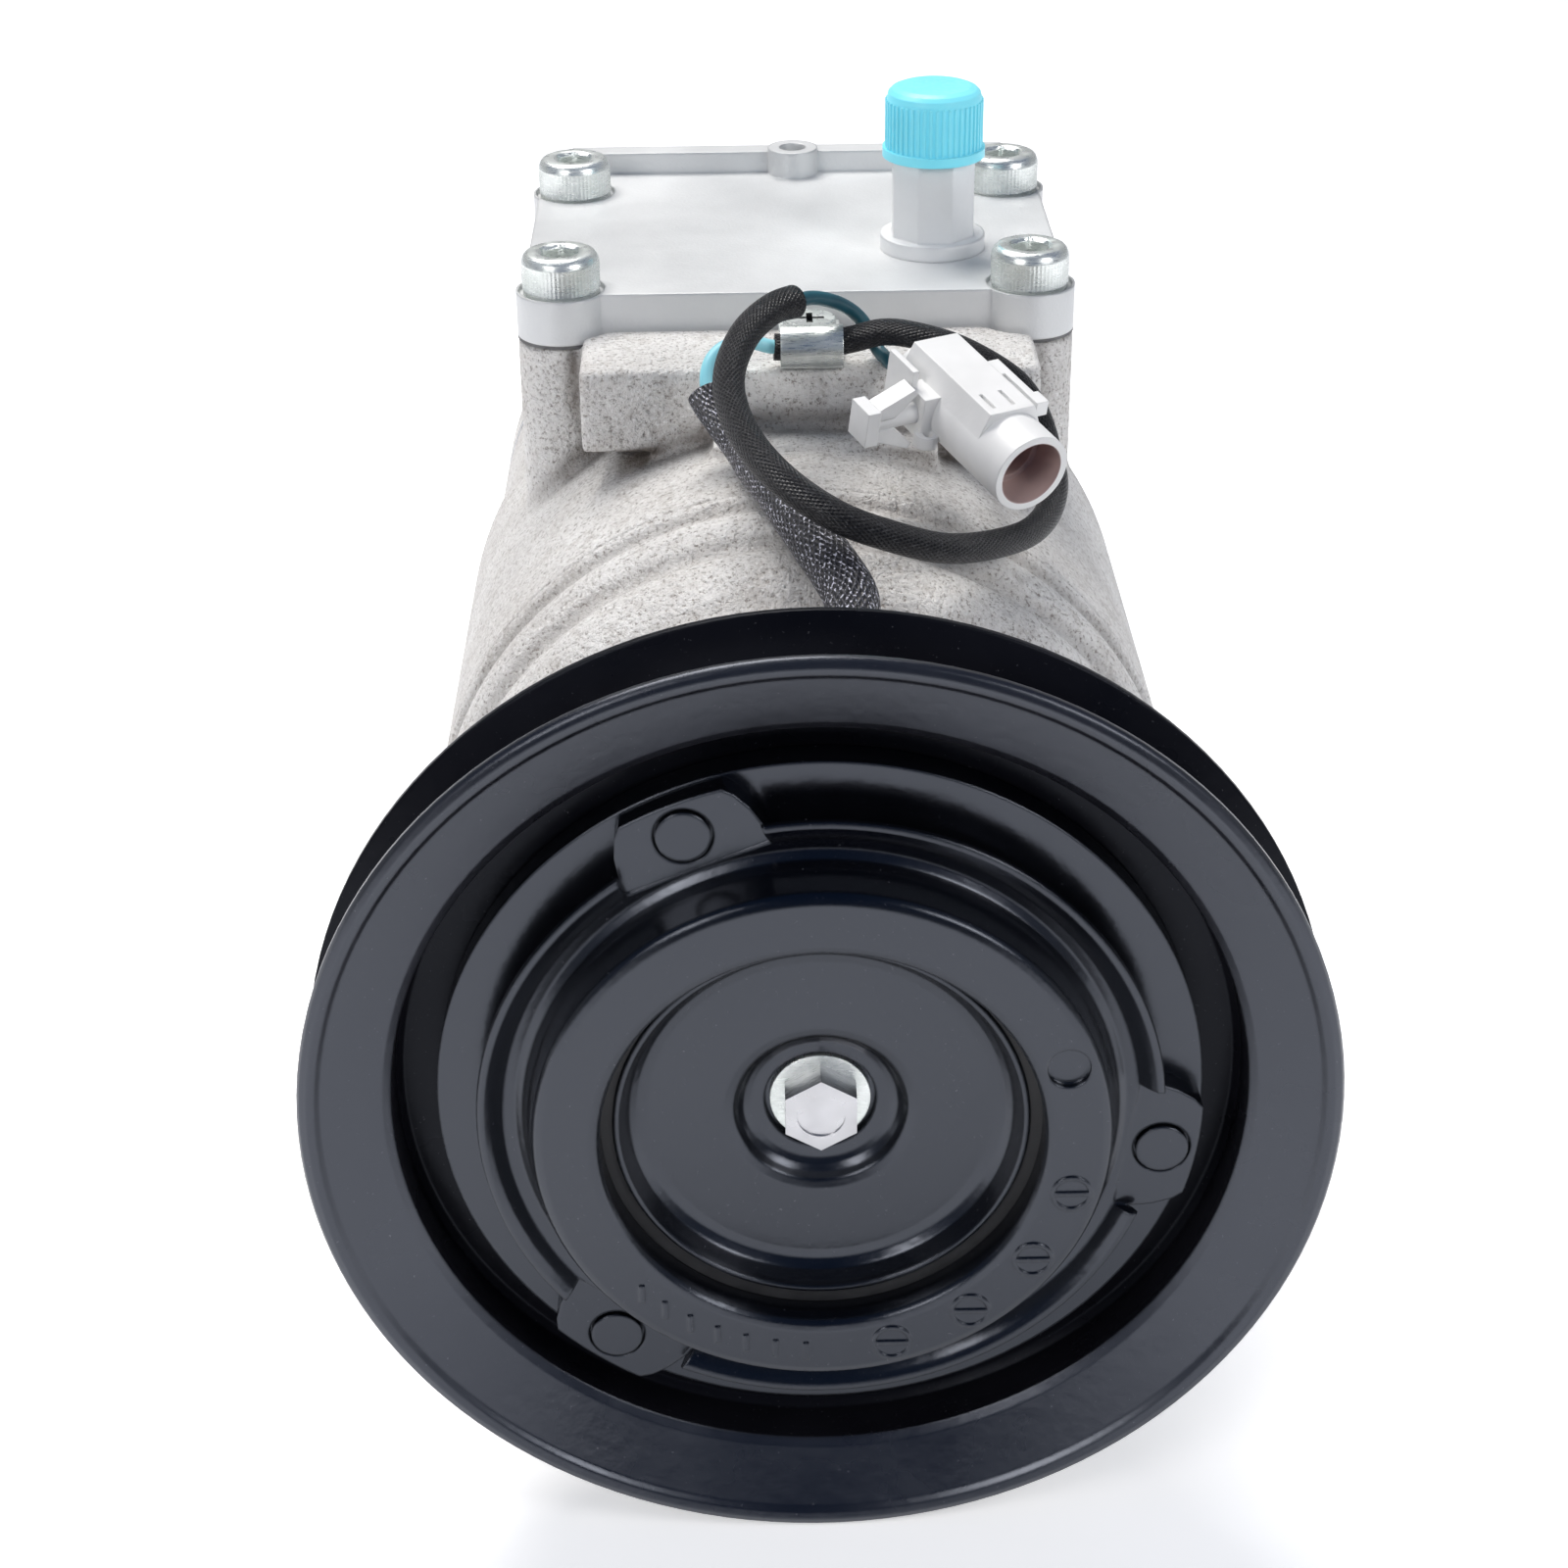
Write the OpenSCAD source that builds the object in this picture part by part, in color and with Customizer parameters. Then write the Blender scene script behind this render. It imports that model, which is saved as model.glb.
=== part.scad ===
// Automotive air-conditioning compressor: swash plate type, electromagnetic clutch.
// Shaft along Y with the pulley at the front (-Y), +Z up, millimetres.
// Origin: on the shaft axis, in the middle plane of the belt groove.

/* [Clutch] */
// outside diameter of the belt pulley
pulley_d = 145; // [143:1:150]
// depth of the belt groove
groove_depth = 9.5; // [8:0.5:10]
// air gap between the armature plate and the rotor face
air_gap = 0.5; // [0.4:0.05:0.6]

/* [Body] */
// outside diameter of the front housing and the front cylinder block
body_d = 120; // [118:1:126]
// cylinder bore
bore_d = 30; // [26:0.5:31]
// diameter of the circle the cylinders stand on
bore_pcd = 76; // [75:0.5:76]
// whole stroke of a piston
stroke = 18; // [12:1:18]
// height of the underside of the mounting feet below the shaft
foot_drop = 73; // [73:0.5:80]
// radius of the mounting bolt bores
mount_r = 5.2; // [4:0.1:6]

/* [Manifold cover] */
// height of the top face of the cover above the shaft
cover_top = 76.5; // [76.5:0.5:80]
// spacing of the cover bolts across the body
bolt_dx = 78; // [76:1:80]
// spacing of the cover bolts along the body
bolt_dy = 54; // [52:1:56]

/* [Hidden] */
$fn = 96;
fit = 0.05;
eps = 0.01;

// clutch
pulley_r = pulley_d / 2;
rim_half = 8.3;
groove_r = pulley_r - groove_depth;
recess_r = 60;
rotor_wall_r = 61;
rotor_channel_r = 51.5;
rotor_hub_r = 31;
friction_y = 5;
channel_y = 10;
rotor_back = 27;
armature_r = 53.8;
armature_bore_r = 31;
armature_thick = 5;
armature_front = friction_y - air_gap - armature_thick;
lug_angles = [112, -8, -128];
rivet_pitch_r = 48.5;
rivet_shank_r = 2.5;
rivet_head_r = 3.7;
lug_front = -4.3;
ring_face_y = -12.2;
mark_r = 35.6;
flange_r = 36;
hub_sleeve_r = 10.5;

// shaft and bearings
shaft_nose_r = 6.5;
shaft_seal_r = 8;
shaft_r = 9;
shaft_rear = 196;
clutch_bolt_r = 3;
nose_r = 17.5;
nose_bore_r = 12.5;
nose_front = 4;
bearing_y = [7.5, 27.5];
race_in_r = 21;
race_out_r = 24.5;
bearing_out_r = 27.5;
ball_orbit_r = 22.6;
ball_r = 2.2;
ball_rows = [12.5, 22.5];
balls_per_row = 16;

// field coil
coil_plate_y = [29.5, 31.5];
coil_in_r = 32.5;
coil_out_r = 50;
coil_front = 11;
lead_x = 6;
lead_z = 50;

// body
body_r = body_d / 2;
rear_r = body_r - 2.5;
bore_r = bore_d / 2;
bore_orbit = bore_pcd / 2;
swash_y = 141;
chamber_half = 19;
bore_end = 59.4;
joint_y = 152;
gasket_t = 0.5;
lip_y = 78;
front_face = swash_y - bore_end;
rear_face = swash_y + bore_end;
rear_housing_y = [204, 224];
chamber_r = 54.5;
bore_angles = [for (i = [0 : 4]) 90 + 72 * i];
bolt_angles = [for (i = [0 : 4]) 54 + 72 * i];
through_orbit = 50;
through_r = 3;
plate_r = 56;
reed_t = 0.3;
plate_t = 2.5;
thrust_t = 4;

// swash plate and pistons
swash_tilt = atan(stroke / bore_pcd);
swash_t = 8;
swash_r = 45.5;
swash_boss_r = 18;
swash_boss_half = chamber_half - 3.5 - thrust_t - 0.1;
piston_r = bore_r - fit;
piston_half = 47;
slot_half = 28.5;
bridge_in_r = 9.3;
shoe_r = 6;
shoe_out = 4.3;

// block under the cover
block_half_x = 43.5;
block_y = [123, 190.5];
block_low = 34;
block_top = 68.5;
bolt_y0 = 125.7;
column_r = 7.6;
cover_low = 69;
cover_y = [122, 195];
cover_half_x = 45.5;
plenum_half_x = 27;
plenum_y = [133, 172];
plenum_low = 58;
lip_front = 190.5;
lip_half_x = 40;
spot_depth = 0.8;
spot_r = 7.2;
lip_h = 3.8;
head_r = 6.5;
head_top = cover_top + 6.5;
socket_af = 6;
port_x = 24;
port_y = 145;
port_thread_r = 6.8;
discharge_x = -20;
discharge_y = 213.8;
discharge_top = 66;
discharge_r = 7;

// clip pad
pad_x = [-35.4, 39];
pad_y = [101.7, 121.4];
pad_z = [56.6, 70.6];
clip_x = [-3, 7];
clip_axis = [102.5, 74.1];
clip_t = 0.8;
screw_y = 115.5;

// lead
sleeve_r = 3.6;
loop_r = 2.7;
wire_r = 1.3;
coil_lead_points = [
    [6, 34, 50], [6, 37, 51.5], [6, 41, 54], [6, 45, 56.5], [4, 50, 58.5], [2, 54, 60],
    [-1, 61, 61.8], [-4, 69, 63.2], [-7, 77, 64], [-9, 84, 64.6], [-12, 89, 67], [-14.5, 93, 70]];
blue_wire_points = [
    [-14.5, 93, 70], [-14.6, 95.5, 73], [-13, 98, 75], [-10, 100.5, 75.6], [-7, 102, 75],
    [-4, 102.5, 74.1]];
loop_lead_points = [
    [-4, 102.5, 74.1], [2, 102.5, 74.1], [7.5, 102, 74.4], [11.5, 100, 76], [15.5, 98, 76.2],
    [19.5, 95.5, 75], [26, 93, 73.5], [33, 91, 70], [37, 90.5, 65.5], [39, 88.5, 61], [39.5, 82.5, 57.5],
    [37, 74.5, 55.5], [31.5, 66, 56], [21, 55, 59.5], [11, 50.5, 64], [3.5, 50, 67.5], [-3.5, 54.5, 71],
    [-8.5, 62.5, 74], [-11, 71, 77], [-11, 76.5, 79.5], [-8.5, 84.5, 81], [-5, 93, 81.5]];
teal_wire_points = [
    [-5, 93, 81.5], [-2.5, 98, 82], [1, 102, 82], [5, 105.5, 80.8], [8.5, 107.7, 78], [11, 107.6, 74.8],
    [12.8, 105, 72.4], [14.3, 101, 72], [15.7, 96.8, 71.5], [17, 93, 72.6], [18, 89.9, 75.7]];
plug_back = [18, 89.9, 75.7];
plug_turn = [0, 102.7, -61.2];
plug_len = 33;
plug_r = 6.3;
plug_bore_r = 5.1;
plug_step_r = 4.1;

cast = [0.78, 0.76, 0.73];
machined = [0.80, 0.81, 0.83];
steel = [0.62, 0.63, 0.65];
zinc = [0.74, 0.77, 0.74];
clutch_black = [0.03, 0.03, 0.04];
rubber_black = [0.05, 0.05, 0.05];
gasket_grey = [0.35, 0.36, 0.36];
sleeve_black = [0.06, 0.06, 0.07];
copper = [0.72, 0.42, 0.22];
cap_cyan = [0.15, 0.72, 0.86];
plug_grey = [0.72, 0.72, 0.71];
wire_blue = [0.25, 0.62, 0.78];

// ---------- helpers ----------

module turned(profile) {
    rotate([-90, 0, 0])
        rotate_extrude()
            polygon(profile);
}

module rod_y(r, y0, y1) {
    translate([0, y0, 0])
        rotate([-90, 0, 0])
            cylinder(r = r, h = y1 - y0);
}

module rod_at(r, y0, y1, x, z) {
    translate([x, 0, z])
        rod_y(r, y0, y1);
}

module ring_y(r_out, r_in, y0, y1) {
    difference() {
        rod_y(r_out, y0, y1);
        rod_y(r_in, y0 - 1, y1 + 1);
    }
}

module post(r, x, y, z0, z1) {
    translate([x, y, z0])
        cylinder(r = r, h = z1 - z0);
}

module slab(x, y, z) {
    translate([x[0], y[0], z[0]])
        cube([x[1] - x[0], y[1] - y[0], z[1] - z[0]]);
}

module at_angle(orbit, angle) {
    translate([orbit * cos(angle), 0, orbit * sin(angle)])
        children();
}

module around(orbit, angles) {
    for (a = angles)
        at_angle(orbit, a)
            children();
}

module hex_y(across, y0, y1) {
    translate([0, y0, 0])
        rotate([-90, 0, 0])
            rotate([0, 0, 30])
                cylinder(r = across / sqrt(3), h = y1 - y0, $fn = 6);
}

// A tube swept through a list of points; ref is a direction the path never takes.
function unit(v) = v / norm(v);
function heading(p, i) = unit(p[min(i + 1, len(p) - 1)] - p[max(i - 1, 0)]);
function hoop(p, i, r, n, ref) =
    let (t = heading(p, i), u = unit(cross(t, ref)), v = cross(t, u))
    [for (k = [0 : n - 1]) p[i] + r * (u * cos(360 * k / n) + v * sin(360 * k / n))];

module tube(p, r, ref, n) {
    rings = len(p);
    points = [for (i = [0 : rings - 1]) each hoop(p, i, r, n, ref)];
    sides = [for (i = [0 : rings - 2]) for (k = [0 : n - 1])
        [i * n + k, i * n + (k + 1) % n, (i + 1) * n + (k + 1) % n, (i + 1) * n + k]];
    first = [for (k = [n - 1 : -1 : 0]) k];
    last = [for (k = [0 : n - 1]) (rings - 1) * n + k];
    polyhedron(points = points, faces = concat(sides, [first, last]));
}

// ---------- clutch ----------

module pulley() {
    groove_mouth = 6.6;
    groove_floor = groove_mouth - groove_depth * tan(20);
    slot_r = [43, 45.2];
    color(clutch_black)
        difference() {
            turned([
                [recess_r, -2.6], [recess_r + 1.2, -3.5], [pulley_r - 3.1, -7.2], [pulley_r - 2.4, -7.9],
                [pulley_r - 1.4, -rim_half], [pulley_r - 0.4, -rim_half + 0.3], [pulley_r, -7.4],
                [pulley_r, -groove_mouth], [groove_r, -groove_floor], [groove_r, groove_floor],
                [pulley_r, groove_mouth], [pulley_r, 7.6], [pulley_r - 0.6, rim_half],
                [pulley_r - 2.4, rim_half], [groove_r + 1.5, 5.9], [rotor_wall_r + 1, 6.8],
                [rotor_wall_r, 8.5], [rotor_wall_r, rotor_back], [rotor_channel_r, rotor_back],
                [rotor_channel_r, channel_y], [rotor_hub_r, channel_y], [rotor_hub_r, 28.9],
                [bearing_out_r, 28.9], [bearing_out_r, bearing_y[0]], [25, bearing_y[0]],
                [25, friction_y], [recess_r - 1, friction_y], [recess_r, friction_y - 1]]);
            difference() {
                ring_y(slot_r[1], slot_r[0], friction_y - 1, channel_y + 1);
                for (a = [30 : 60 : 150])
                    rotate([0, a, 0])
                        translate([-50, friction_y - 2, -4])
                            cube([100, channel_y, 8]);
            }
            ring_y(28.6, 27, 27.6, 28.7);
        }
}

module hub_inner() {
    color(clutch_black)
        turned([
            [shaft_nose_r, 0.9], [7.9, 0.9], [7.9, -0.7], [9.8, -0.8], [10.8, -1.2], [11.6, -2.0],
            [12.3, -3.0], [13.6, -3.4], [24.4, -3.3], [25.8, -3.6], [26.9, -4.4], [27.8, -6.2],
            [28.2, -7.2], [28.8, -7.2], [29.1, -6.7], [29.1, -3.0], [flange_r, -3.0],
            [flange_r, -1.4], [13, -1.2], [hub_sleeve_r, 0.6], [hub_sleeve_r, 20], [shaft_nose_r, 20]]);
}

module hub_damper() {
    color(rubber_black)
        turned([
            [29.1, -6.7], [30.7, -6.9], [33.0, -7.0], [33.0, -9.6], [37.8, -9.6], [38.6, -5.0],
            [39.0, -1.4], [flange_r, -1.4], [flange_r, -3.0], [29.1, -3.0]]);
}

// raised date wheel: a rim and one bar, no figures
module date_wheel(angle) {
    at_angle(mark_r, angle) {
        ring_y(2.9, 2.4, ring_face_y - 0.25, ring_face_y + 0.2);
        translate([-2.6, ring_face_y - 0.25, -0.3])
            cube([5.2, 0.45, 0.6]);
    }
}

module lug(angle) {
    ear = [[42, 10.6], [46.2, 10.4], [49, 9.8], [51.6, 8.6], [53.4, 7], [54.6, 5]];
    outline = concat(ear, [for (i = [len(ear) - 1 : -1 : 0]) [ear[i][0], -ear[i][1]]]);
    rotate([0, -angle, 0])
        intersection() {
            ring_y(armature_r - 0.3, 42.9, lug_front, armature_front);
            translate([0, armature_front + 1, 0])
                rotate([90, 0, 0])
                    linear_extrude(armature_front - lug_front + 2)
                        polygon(outline);
        }
}

module hub_cup() {
    dimple_angle = 20;
    color(clutch_black)
        difference() {
            union() {
                difference() {
                    turned([
                        [30.7, -7.0], [30.7, -11.2], [31.2, -11.9], [32.2, ring_face_y],
                        [38.6, ring_face_y], [39.6, -11.9], [40.1, -11.2], [40.9, -6.6], [41.6, -5.0],
                        [42.7, -4.3], [44.4, -4.6], [46.0, -5.9], [47.0, -6.5], [47.8, -6.4],
                        [48.0, -5.7], [47.4, -4.8], [45.6, -3.0], [44.0, -2.3], [40.6, -2.4],
                        [38.6, -5.0], [37.8, -9.6], [33.0, -9.6], [33.0, -7.0]]);
                    for (a = lug_angles)
                        rotate([0, -a, 0])
                            slab([43.4, 50], [-8, 0], [-10.4, 10.4]);
                }
                for (a = lug_angles)
                    lug(a);
                for (a = [-14, -34, -54, -74])
                    date_wheel(a);
                for (a = [-94 : -7 : -136])
                    at_angle(mark_r, a)
                        translate([-0.4, ring_face_y - 0.25, -1.5])
                            cube([0.8, 0.45, 3]);
            }
            at_angle(mark_r, dimple_angle)
                rod_y(3, ring_face_y - 1, ring_face_y + 0.9);
            around(rivet_pitch_r, lug_angles) {
                rod_y(4.1, lug_front - 3, lug_front + 1.2);
                rod_y(rivet_shank_r, lug_front - 1, 1);
            }
        }
}

module armature_plate() {
    slot_r = [41, 43];
    color(clutch_black)
        difference() {
            ring_y(armature_r, armature_bore_r, armature_front, armature_front + armature_thick);
            difference() {
                ring_y(slot_r[1], slot_r[0], armature_front - 1, armature_front + armature_thick + 1);
                for (a = lug_angles)
                    rotate([0, -a, 0])
                        slab([30, 50], [-9, 9], [-11, 11]);
            }
            around(rivet_pitch_r, lug_angles)
                rod_y(rivet_shank_r, armature_front - 1, armature_front + armature_thick + 1);
        }
}

module rivets() {
    color(clutch_black)
        around(rivet_pitch_r, lug_angles) {
            rod_y(rivet_head_r, lug_front - 0.4, lug_front + 1.2);
            rod_y(rivet_shank_r, lug_front + 1, armature_front + armature_thick - 0.3);
        }
}

module clutch_washer() {
    color(zinc)
        ring_y(7.1, clutch_bolt_r, -0.3, 0.9);
}

module clutch_bolt() {
    color(zinc) {
        difference() {
            hex_y(10, -4.9, -0.3);
            rod_y(3.4, -5.2, -4.6);
        }
        rod_y(clutch_bolt_r, -1, 19);
    }
}

module coil_housing() {
    color(steel)
        difference() {
            union() {
                ring_y(coil_out_r, coil_in_r, coil_front + 2, coil_plate_y[0]);
                ring_y(coil_out_r, nose_r + fit, coil_plate_y[0], coil_plate_y[1]);
            }
            ring_y(coil_out_r - 2, coil_in_r + 2, coil_front, coil_plate_y[0] - 2);
            rod_at(2, coil_front, coil_plate_y[1] + 1, lead_x, 46);
        }
}

module coil_winding() {
    color(copper)
        ring_y(coil_out_r - 2, coil_in_r + 2, coil_front + 2.6, coil_plate_y[0] - 2);
}

module coil_gland() {
    color(rubber_black)
        difference() {
            rod_at(5, coil_plate_y[1], 34, lead_x, lead_z);
            ring_y(44, 0.5, 31, 35);
        }
}

module coil_snap_ring() {
    color(steel)
        difference() {
            ring_y(20.5, nose_r - 1, 27.9, 29.4);
            slab([-2.5, 2.5], [27, 30], [-22, 0]);
        }
}

module nose_snap_ring() {
    color(steel)
        difference() {
            ring_y(19.8, nose_r - 1, 6.0, 7.4);
            slab([-2.5, 2.5], [5, 8], [-22, 0]);
        }
}

module rotor_snap_ring() {
    color(steel)
        difference() {
            ring_y(28.6, 26, 27.6, 28.7);
            slab([-2.5, 2.5], [27, 29], [-30, 0]);
        }
}

module ball_tracks(r) {
    for (y = ball_rows)
        translate([0, y, 0])
            rotate([-90, 0, 0])
                rotate_extrude()
                    translate([ball_orbit_r, 0])
                        circle(r = r);
}

module bearing_inner_race() {
    color(steel)
        difference() {
            ring_y(race_in_r, nose_r, bearing_y[0], bearing_y[1]);
            ball_tracks(ball_r - 0.03);
        }
}

module bearing_outer_race() {
    color(steel)
        difference() {
            ring_y(bearing_out_r, race_out_r, bearing_y[0], bearing_y[1]);
            ball_tracks(ball_r + 0.35);
        }
}

module bearing_balls() {
    color(steel)
        for (y = ball_rows)
            around(ball_orbit_r, [for (i = [0 : balls_per_row - 1]) i * 360 / balls_per_row])
                translate([0, y, 0])
                    sphere(r = ball_r, $fn = 48);
}

module bearing_seals() {
    color(rubber_black) {
        ring_y(race_out_r, race_in_r + 0.3, bearing_y[0] + 0.2, bearing_y[0] + 1.4);
        ring_y(race_out_r, race_in_r + 0.3, bearing_y[1] - 1.4, bearing_y[1] - 0.2);
    }
}

// ---------- shaft, swash plate, pistons ----------

module shaft() {
    color(steel)
        difference() {
            union() {
                rod_y(shaft_nose_r, 1.4, 24);
                rod_y(shaft_seal_r, 24, 50);
                rod_y(shaft_r, 50, shaft_rear);
            }
            rod_y(clutch_bolt_r, 0, 21);
        }
}

module swash_plate() {
    color(steel)
        difference() {
            union() {
                rod_y(swash_boss_r, swash_y - swash_boss_half, swash_y + swash_boss_half);
                translate([0, swash_y, 0])
                    rotate([swash_tilt, 0, 0])
                        rod_y(swash_r, -swash_t / 2, swash_t / 2);
            }
            rod_y(shaft_r, swash_y - chamber_half, swash_y + chamber_half);
        }
}

function piston_shift(i) = -bore_orbit * sin(bore_angles[i]) * tan(swash_tilt);

module at_piston(i) {
    translate([0, swash_y + piston_shift(i), 0])
        at_angle(bore_orbit, bore_angles[i])
            children();
}

module piston(i) {
    color(machined)
        at_piston(i)
            rotate([0, -bore_angles[i], 0])
                difference() {
                    rod_y(piston_r, -piston_half, piston_half);
                    slab([-bore_r - 1, bridge_in_r], [-slot_half, slot_half], [-bore_r - 1, bore_r + 1]);
                    for (s = [-1, 1])
                        translate([0, s * (slot_half - shoe_out), 0])
                            sphere(r = shoe_r);
                }
}

module shoes(i) {
    flat = slot_half - shoe_out;
    color(steel)
        at_piston(i)
            for (s = [-1, 1])
                difference() {
                    translate([0, s * flat, 0])
                        sphere(r = shoe_r);
                    translate([-7, s > 0 ? flat - 10 : -flat, -7])
                        cube([14, 10, 14]);
                }
}

// ---------- valve plates ----------

module pierced_disc(r, y0, y1, centre_r) {
    difference() {
        ring_y(r, centre_r, y0, y1);
        around(through_orbit, bolt_angles)
            rod_y(through_r + 0.3, y0 - 1, y1 + 1);
    }
}

module valve_plate(r, y0) {
    color(steel)
        difference() {
            pierced_disc(r, y0, y0 + plate_t, shaft_r + 1);
            around(30, bore_angles)
                rod_y(3, y0 - 1, y0 + plate_t + 1);
            around(45, bore_angles)
                rod_y(3.5, y0 - 1, y0 + plate_t + 1);
        }
}

module suction_reed(r, y0) {
    color(steel)
        difference() {
            pierced_disc(r, y0, y0 + reed_t, shaft_r + 1);
            for (a = bore_angles)
                rotate([0, -a, 0]) {
                    slab([28, 45], [y0 - 1, y0 + 1], [5.0, 6.2]);
                    slab([28, 45], [y0 - 1, y0 + 1], [-6.2, -5.0]);
                    slab([48.6, 49.6], [y0 - 1, y0 + 1], [-4, 4]);
                }
            around(30, bore_angles)
                rod_y(3.4, y0 - 1, y0 + 1);
        }
}

module discharge_reed(y0) {
    color(steel)
        difference() {
            union() {
                rod_y(22, y0, y0 + reed_t);
                for (a = bore_angles)
                    rotate([0, -a, 0]) {
                        slab([15, 30], [y0, y0 + reed_t], [-4, 4]);
                        rod_at(5, y0, y0 + reed_t, 30, 0);
                    }
            }
            rod_y(shaft_r + 1, y0 - 1, y0 + 1);
        }
}

module head_gasket(r, y0) {
    color(gasket_grey)
        difference() {
            ring_y(r, 46, y0, y0 + gasket_t);
            around(through_orbit, bolt_angles)
                rod_y(through_r + 0.3, y0 - 1, y0 + 1);
        }
}

// ---------- housings ----------

// outer line of the front housing: soft ridges growing towards the block
housing_line = [
    [42, 31.5], [43, 35], [45.4, 39], [49.6, 43], [51.8, 45.4], [52.3, 47.4], [51.8, 49.4],
    [52.6, 51.2], [54.6, 53.2], [56.2, 56], [57.0, 59], [57.1, 61.6], [56.3, 63.4], [56.5, 64.8],
    [58.3, 66.4], [59.3, 69], [59.3, 72], [58.2, 73.8], [58.2, 75], [59.4, 76], [body_r, 77],
    [body_r, lip_y]];

module front_housing() {
    color(cast)
        difference() {
            turned(concat([[nose_bore_r, nose_front], [nose_r, nose_front], [nose_r, 31.5]],
                housing_line, [[nose_bore_r, lip_y]]));
            ring_y(nose_r + 1, nose_r - 1, 5.95, 7.45);
            ring_y(nose_r + 1, nose_r - 1, 27.85, 29.45);
            rod_y(14, 34, 48);
            rod_y(15, 35.9, 37.3);
            ring_y(45, 26, 54, lip_y + 1);
            around(through_orbit, bolt_angles)
                rod_y(through_r, 62, lip_y + 1);
        }
}

module foot(y0, y1) {
    slab([-40, 40], [y0, y1], [-foot_drop + 7, -36]);
    for (s = [-1, 1])
        slab([s * 31 - 9, s * 31 + 9], [y0, y1], [-foot_drop, -36]);
}

module foot_bore(y) {
    translate([-41, y, -foot_drop + 8.5])
        rotate([0, 90, 0])
            cylinder(r = mount_r, h = 82);
}

module block(y0, y1, bolt_y) {
    slab([-block_half_x, block_half_x], [y0, y1], [block_low, block_top]);
    for (s = [-1, 1])
        post(column_r, s * bolt_dx / 2, bolt_y, block_low, block_top);
}

module bolt_holes(bolt_y) {
    for (s = [-1, 1])
        post(4, s * bolt_dx / 2, bolt_y, 48, block_top + 1);
}

module cylinders(y0, y1) {
    around(bore_orbit, bore_angles)
        rod_y(bore_r, y0, y1);
}

module through_holes(y0, y1) {
    around(through_orbit, bolt_angles)
        rod_y(through_r + 0.3, y0, y1);
}

module front_cylinder_block() {
    color(cast)
        difference() {
            union() {
                difference() {
                    union() {
                        rod_y(body_r, lip_y, joint_y);
                        block(block_y[0], joint_y, bolt_y0);
                        slab(pad_x, [pad_y[0], pad_y[1]], pad_z);
                        slab(pad_x, [pad_y[1] - 1, block_y[0] + 1], [pad_z[0], block_top]);
                        slab([-14, 22], [94, pad_y[0] + 1], [50, pad_z[0] + 4]);
                        foot(84, 100);
                    }
                    rod_y(chamber_r, swash_y - chamber_half, joint_y + 1);
                }
                rod_y(swash_boss_r - 2, swash_y - chamber_half - 1, swash_y - chamber_half + 3.5);
            }
            rod_y(plate_r + fit, lip_y - 1, front_face);
            cylinders(front_face - 1, swash_y - chamber_half + eps);
            through_holes(front_face - 1, joint_y + 1);
            rod_y(shaft_r + 1, front_face - 1, joint_y);
            rod_y(12, 84, 98);
            slab([-plenum_half_x, plenum_half_x], [plenum_y[0], joint_y + 1], [plenum_low, block_top + 1]);
            post(5, 12, 142, 50, plenum_low + 1);
            bolt_holes(bolt_y0);
            foot_bore(92);
            for (s = [-1, 1])
                post(column_r + 0.6, s * bolt_dx / 2, bolt_y0, block_top, pad_z[1] + 1);
            post(2.5, (clip_x[0] + clip_x[1]) / 2, screw_y, 60, pad_z[1] + 1);
        }
}

module rear_cylinder_block() {
    y0 = joint_y + gasket_t;
    color(cast)
        difference() {
            union() {
                difference() {
                    union() {
                        rod_y(rear_r, y0, rear_face);
                        block(y0, block_y[1], bolt_y0 + bolt_dy);
                        foot(180, 196);
                    }
                    rod_y(chamber_r, y0 - 1, swash_y + chamber_half);
                }
                rod_y(swash_boss_r - 2, swash_y + chamber_half - 3.5, swash_y + chamber_half + 1);
            }
            cylinders(swash_y + chamber_half - eps, rear_face + 1);
            through_holes(y0 - 1, rear_face + 1);
            rod_y(shaft_r + 1, y0, rear_face - 2);
            rod_y(12, 184, 198);
            slab([-plenum_half_x, plenum_half_x], [y0 - 1, plenum_y[1]], [plenum_low, block_top + 1]);
            bolt_holes(bolt_y0 + bolt_dy);
            foot_bore(188);
        }
}

module block_gasket() {
    color(gasket_grey)
        difference() {
            union() {
                rod_y(rear_r, joint_y, joint_y + gasket_t);
                slab([-block_half_x, block_half_x], [joint_y, joint_y + gasket_t], [block_low, block_top]);
            }
            rod_y(chamber_r, joint_y - 1, joint_y + 1);
            slab([-plenum_half_x, plenum_half_x], [joint_y - 1, joint_y + 1], [plenum_low, block_top + 1]);
        }
}

module rear_housing() {
    y0 = rear_housing_y[0];
    y1 = rear_housing_y[1];
    color(cast)
        difference() {
            union() {
                turned([
                    [0, y0], [rear_r, y0], [rear_r, y1 - 7], [rear_r - 0.9, y1 - 4],
                    [rear_r - 3.2, y1 - 1.2], [rear_r - 6, y1 - 0.2], [rear_r - 9, y1], [34, y1],
                    [31, y1 - 2.5], [26, y1 - 2.5], [23, y1], [0, y1]]);
                for (a = bolt_angles)
                    rotate([0, -a, 0])
                        slab([20, 40], [y1 - 4, y1], [-2, 2]);
                post(discharge_r + 2.4, discharge_x, discharge_y, 44, discharge_top);
            }
            post(discharge_r, discharge_x, discharge_y, discharge_top - 18, discharge_top + 1);
            post(3, discharge_x, discharge_y, 36, discharge_top - 17);
            ring_y(45, 26, y0 - 1, y1 - 7);
            rod_y(20, y0 - 1, y1 - 8);
            through_holes(y0 - 1, y1 + 1);
            around(through_orbit, bolt_angles)
                rod_y(7, y1 - 3, y1 + 1);
        }
}

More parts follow.
